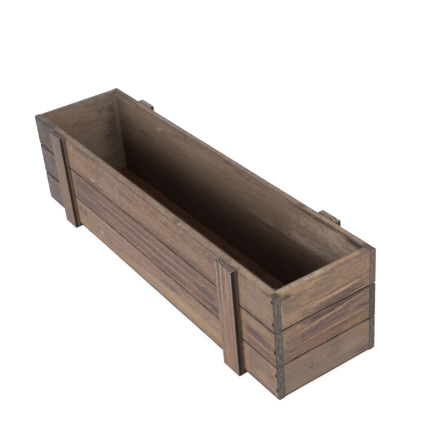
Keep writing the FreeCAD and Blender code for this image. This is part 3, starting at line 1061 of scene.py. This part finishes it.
def chance_marks(node, seed):
    """A few marks on a board, the same ones every time for one seed."""
    dice = random.Random(seed)
    low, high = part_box(node)
    length, width, _ = sorted(((high - low)[i] / MM for i in range(3)), reverse=True)
    marks = []
    for tint, strength in CHANCE_STAINS:
        centre = dice.uniform(*ALONG) * length, dice.uniform(*ACROSS) * width
        half_size = dice.uniform(*HALF_LONG) * length, dice.uniform(*HALF_WIDE)
        turn = dice.uniform(*TURN)
        marks.append((*centre, *half_size, turn, tint, strength))
    return marks


print("marks by chance on one board:", len(chance_marks("back_top_plank", 1)))

# %% [markdown]
# ## What a board's place in the box adds to it
# Beside a batten lies a brown band of painted shadow with a tan stain as its margin, and near the left
# end the edges of the front planks are painted near black as the shade in the gaps. The lowest edge is
# painted darker as the shade under the box, a cut end is darker at its arris, and the top edges are
# pale and rough, partly as sawn wood and partly as painted light. These come from a board's place in
# the box, not from its own figure.

# %% What a board's place adds to its look
# Near-black gap lines near the left end and brown bands by the battens are painted shade; tan is
# stain.
SHADE_AND_STAIN_BESIDE_BATTENS = (
    (-285, 0, 44, 3.4, 0, "#0A0706", 1.0), (-285, 50, 44, 3.0, 0, "#0E0A09", 1.0),
    (-196, 25, 5, 90, 0, "#B08C69", 0.6), (-203, 25, 5, 90, 0, "#5A4335", 0.9),
    (247, 25, 5, 90, 0, "#AD8C68", 0.5), (238, 25, 3.6, 90, 0, "#4E3A2D", 0.9),
)
BACK_ENDS = {
    "back_bottom_plank": ("#867A6F", "#4A413A"), "back_middle_plank": ("#746A61", "#3E3630"),
    "back_top_plank": ("#95877A", "#544A42"),
}
# The rims' pale tint is partly painted light; the next colour is painted shade along the lowest edge.
RIM, FOOT_SHADE, END_ARRIS = ("#A39286", 0.75), ("#3B2D26", 0.8), ("#2E231E", 0.85)


def look_of(node, seed, dents):
    """A board's own look, with its nail spots, its rim, its bands and its dark edges."""
    wall, _, course = node.removesuffix("_plank").rpartition("_")
    is_plank = node.endswith("_plank")
    look = dict(LOOKS.get(node, PLAIN if is_plank else STRIP))
    if "marks" not in look:
        look["marks"] = chance_marks(node, seed)
    look["dents"] = dents
    if node in BACK_ENDS:
        look["end"] = BACK_ENDS[node]
    if is_plank and course == "bottom":
        look["foot_shade"] = FOOT_SHADE
    if is_plank and course == "top":
        look["rim"] = look.get("rim") or RIM
    if is_plank and wall in ("front", "back"):
        look["end_arris"] = END_ARRIS
    if is_plank and wall == "front":
        look["shade_and_stain_bands"] = SHADE_AND_STAIN_BESIDE_BATTENS
    return look


print("back planks with another end grain:", len(BACK_ENDS))

# %% Finish every board
for seed, (node, (directions, dents)) in enumerate(boards.items(), 1):
    process = "stained_plywood_" if node in LININGS else "scorched_softwood_"
    finish = scorched_softwood(process + node, node, directions, seed, look_of(node, seed, dents))
    pieces[node].data.materials.append(finish)
print("materials:", len(bpy.data.materials))

# %% [markdown]
# ## Corner strips
# A thin three-sided strip hides the joint of two linings in every inside corner. Its shape is plain
# and mostly in shade, so the CAD solid stays as it is, and only takes a finish. It was cut from
# bare softwood and had one coat of stain, so it is paler than the boards.

# %% Stained pale softwood for the corner strips
PALE = {
    **PLY, "light": "#9C8A70", "mid": "#86745C", "dark": "#645340", "spacing": 2.5, "broad": 0.8,
    "speck": 1.0, "cool": ("#8C7C6A", 0.3), "arris": ("#8A745A", 0.2), "end": ("#5A4B3F", "#3A2F28"),
}
for wall in ("front", "back"):
    for side in ("left", "right"):
        node = f"{wall}_{side}_corner_strip"
        seed += 1
        finish = scorched_softwood("stained_pale_softwood_" + node, node, (Z, X), seed, PALE)
        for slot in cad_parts[node].material_slots:
            slot.material = finish
        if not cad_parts[node].material_slots:
            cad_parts[node].data.materials.append(finish)
print("last seed used:", seed)

# %% [markdown]
# ## Brads
# The brads are steel wire. Flame, stain and damp have turned their heads nearly black with a little
# brown rust, so they look like small dark pits. The CAD solids are right and stay. The finish is a
# metal whose colour and roughness change every half millimetre.

# %% Rusted steel wire
RUST_SPOT = 0.5 * MM
OXIDE, RUST, RUST_LIMITS = "#2B2726", "#3E2A20", (0.45, 0.6)


def rusted_steel(name):
    """Steel wire with a dark oxide skin and rust: a dull metal, broken up by rough brown spots."""
    material = bpy.data.materials.new(name)
    material.use_nodes = True
    tree = material.node_tree
    tree.nodes.clear()
    place = add(tree, "TexCoord").outputs["Object"]
    spots = add(tree, "TexNoise", {"Scale": 1 / RUST_SPOT, "Detail": 3.0}, {"Vector": place})
    rust = add(tree, "MapRange", {"From Min": RUST_LIMITS[0], "From Max": RUST_LIMITS[1]},
               {"Value": spots.outputs[0]})
    colour = add(tree, "Mix", {"data_type": "RGBA", MIX_A: linear(OXIDE), MIX_B: linear(RUST)},
                 {0: rust.outputs[0]})
    dull = add(tree, "MapRange", {"To Min": 0.5, "To Max": 0.85}, {"Value": rust.outputs[0]})
    shader = add(tree, "BsdfPrincipled", {"Metallic": 0.6},
                 {"Base Color": colour.outputs[MIXED], "Roughness": dull.outputs[0]})
    add(tree, "OutputMaterial", {}, {"Surface": shader.outputs[0]})
    return material


wire = rusted_steel("rusted_steel_wire")
for node in ("front_corner_brads", "back_corner_brads", "batten_brads", "runner_brads"):
    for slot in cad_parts[node].material_slots:
        slot.material = wire
    print(node, "slots:", len(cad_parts[node].material_slots))

# %% [markdown]
# ## Floor
# The photograph has a pure white ground. A brighter lamp would bleach the wood, so the paper stays a
# pale grey that bounces a plain amount of light, and only what the camera, a gloss or a glass sees of
# it is lifted just to white. For them the paper itself is a darker grey, so the lamps' own light on it
# still shows the object's soft shadow, and the outline isn't bleached.

# %% What the camera, a gloss or a glass sees
def seen_rays(tree):
    """1 for rays from the camera, from a gloss and through glass, and 0 for rays that light things."""
    path = add(tree, "LightPath")
    seen = add(tree, "Math", {"operation": "MAXIMUM"},
               {0: path.outputs["Is Camera Ray"], 1: path.outputs["Is Glossy Ray"]})
    return add(tree, "Math", {"operation": "MAXIMUM"},
               {0: seen.outputs[0], 1: path.outputs["Is Transmission Ray"]}).outputs[0]


print("materials before the floor's:", len(bpy.data.materials))

# %% White paper under the object
FLOOR_REACH, FLOOR_LIFT = 6, 0.88
PAPER, PAPER_SEEN = "#D2D2D0", "#959594"
corners = [(x * FLOOR_REACH, y * FLOOR_REACH, 0) for x, y in ((-1, -1), (1, -1), (1, 1), (-1, 1))]
floor = bpy.data.objects.new("studio_floor", bpy.data.meshes.new("studio_floor"))
floor.data.from_pydata(corners, [], [(0, 1, 2, 3)])
bpy.context.scene.collection.objects.link(floor)
paper = bpy.data.materials.new("white_paper_floor")
paper.use_nodes = True
tree = paper.node_tree
tree.nodes.clear()
seen = seen_rays(tree)
lift = add(tree, "Math", {"operation": "MULTIPLY", 1: FLOOR_LIFT}, {0: seen})
paper_grey = add(tree, "Mix", {"data_type": "RGBA", MIX_A: linear(PAPER), MIX_B: linear(PAPER_SEEN)},
                 {0: seen})
matte = add(tree, "BsdfPrincipled", {"Roughness": 0.9, "Specular IOR Level": 0.1,
                                     "Emission Color": linear("#FFFFFF")},
            {"Base Color": paper_grey.outputs[MIXED], "Emission Strength": lift.outputs[0]})
add(tree, "OutputMaterial", {}, {"Surface": matte.outputs[0]})
floor.data.materials.append(paper)
print("floor:", 2 * FLOOR_REACH, "m wide")

# %% [markdown]
# ## Light
# The walls outside are evenly lit and the inside falls away to nearly black, so the light in the
# photograph came from low and all round, under a dark ceiling. A white world would fill the inside
# with light from above. Six large soft boxes, most of them low, do what the photograph shows. The
# world is bright only where the camera, a gloss or a glass looks at it, at about the level of the far
# floor, so no horizon shows.

# %% World
DARK_CEILING, BRIGHT_BACKDROP = 0.06, 0.85
world = bpy.data.worlds.new("studio_room")
bpy.context.scene.world = world
world.use_nodes = True
tree = world.node_tree
tree.nodes.clear()
glow = add(tree, "Math", {"operation": "MULTIPLY_ADD", 1: BRIGHT_BACKDROP, 2: DARK_CEILING},
           {0: seen_rays(tree)})
sky = add(tree, "Background", {"Color": linear("#FFFFFF")}, {"Strength": glow.outputs[0]})
add(tree, "OutputWorld", {}, {"Surface": sky.outputs[0]})
print("the world lights the box with a strength of", DARK_CEILING)

# %% Soft boxes
LAMP_WIDTH, LAMP_DISTANCE, AIM_HEIGHT = 1.0, 1.9, 0.1
# Degrees round from the front towards the right end, degrees up, and watts.
SOFT_BOXES = {
    "front_left": (-20, 12, 12.3), "front_right": (20, 20, 13.2), "left": (-75, 12, 6.5),
    "right": (80, 12, 7.7), "back_right": (130, 55, 17.0), "back": (180, 12, 24.0),
}


def soft_box(name, azimuth, height, watts):
    """A square lamp that looks at the middle of the box."""
    turn, rise = math.radians(azimuth), math.radians(height)
    aim = Vector((math.sin(turn) * math.cos(rise), -math.cos(turn) * math.cos(rise), math.sin(rise)))
    light = bpy.data.lights.new(name, "AREA")
    light.size = LAMP_WIDTH
    light.energy = watts
    lamp = bpy.data.objects.new(name, light)
    lamp.location = aim * LAMP_DISTANCE + Vector((0, 0, AIM_HEIGHT))
    lamp.rotation_euler = aim.to_track_quat("Z", "Y").to_euler()
    bpy.context.scene.collection.objects.link(lamp)


for name, (azimuth, height, watts) in SOFT_BOXES.items():
    soft_box(name + "_soft_box", azimuth, height, watts)
print("soft boxes:", len(SOFT_BOXES))

# %% [markdown]
# ## Camera
# A long lens looks down at the near right corner. Its place, length and small roll were worked out
# from the photograph's straight edges: the box's three directions give the view, and the box's known
# shape gives the distance.

# %% Camera
LENS, SENSOR = 76.0, 36.0
CAMERA_PLACE = (0.9447, -0.5277, 0.7599)
LOOKS_DOWN, TURNED, ROLL = (math.radians(angle) for angle in (32.078, 58.539, -5.457))
camera_data = bpy.data.cameras.new("camera")
camera_data.lens = LENS
camera_data.sensor_width = SENSOR
camera = bpy.data.objects.new("camera", camera_data)
camera.location = CAMERA_PLACE
view = Euler((math.pi / 2 - LOOKS_DOWN, 0, TURNED)).to_matrix()
camera.rotation_euler = (view @ Matrix.Rotation(ROLL, 3, "Z")).to_euler()
bpy.context.scene.collection.objects.link(camera)
bpy.context.scene.camera = camera
bpy.context.scene.view_settings.view_transform = "Standard"
print("camera:", round(Vector(CAMERA_PLACE).length, 2), "m from the middle of the box's underside")
